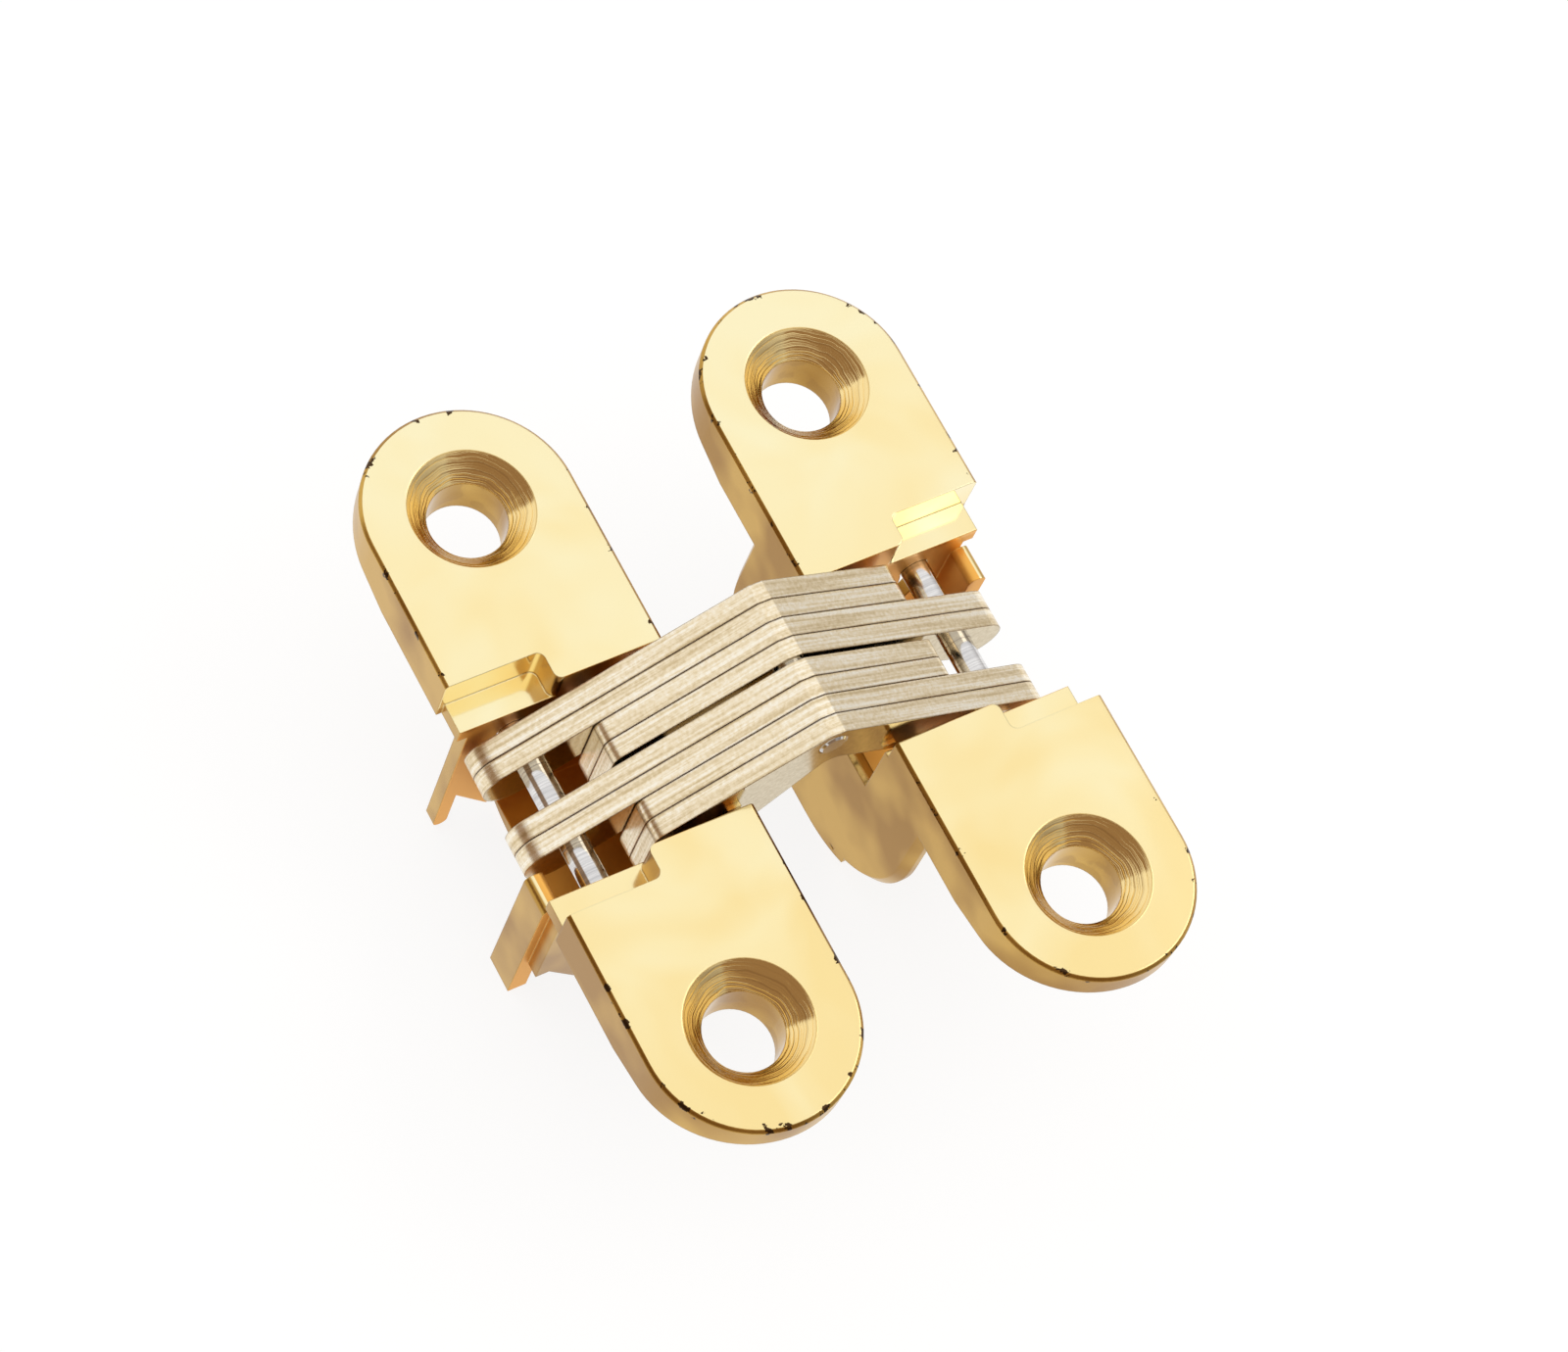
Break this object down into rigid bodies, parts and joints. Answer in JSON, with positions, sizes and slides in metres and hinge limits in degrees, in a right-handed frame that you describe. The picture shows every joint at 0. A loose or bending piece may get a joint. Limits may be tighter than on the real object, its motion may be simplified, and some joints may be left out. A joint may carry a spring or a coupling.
{
  "type": "concealed door hinge",
  "caption": "Concealed cross-link door hinge: two slim cast leaves with countersunk screw ears, joined by a stack of folding steel links on pins.",
  "frame": {"origin": "on the ground under the middle of the open hinge, which stands on the bottoms of its two housings", "axes": "+X from the left leaf to the right leaf, +Y along the pins and the leaves, +Z out of the leaves' faces"},
  "size_m": [0.0354, 0.0472, 0.0205],
  "materials": {
    "gold_casting": "polished gold plate on a zinc die casting",
    "link_steel": "satin, blanked edges",
    "pin_steel": "bright drawn"
  },
  "bodies": {
    "left_leaf": {"left_leaf_casting": "gold_casting", "left_fixed_pin": "pin_steel"},
    "links_b": {"link_3": "link_steel", "link_4": "link_steel", "link_7": "link_steel", "link_8": "link_steel", "centre_pin": "pin_steel", "right_slide_pin": "pin_steel"},
    "links_a": {"link_1": "link_steel", "link_2": "link_steel", "link_5": "link_steel", "link_6": "link_steel", "left_slide_pin": "pin_steel"},
    "right_leaf": {"right_leaf_casting": "gold_casting", "right_fixed_pin": "pin_steel"}
  },
  "joints": [
    {"name": "left_pivot", "type": "hinge", "parent": "left_leaf", "child": "links_b", "pos_m": [-0.0082, 0, 0.0103], "axis": [0, -1, 0], "range_deg": [0, 91.92]},
    {"name": "elbow", "type": "hinge", "parent": "links_b", "child": "links_a", "pos_m": [0, 0, 0.0191], "axis": [0, -1, 0], "range_deg": [-3.85, 0]},
    {"name": "right_pivot", "type": "hinge", "parent": "links_a", "child": "right_leaf", "pos_m": [0.0082, 0, 0.0103], "axis": [0, -1, 0], "range_deg": [0, 91.92]}
  ],
  "couplings": [
    {"joint": "elbow", "follows": "left_pivot", "ratio": -0.041851},
    {"joint": "right_pivot", "follows": "left_pivot", "ratio": 1}
  ]
}
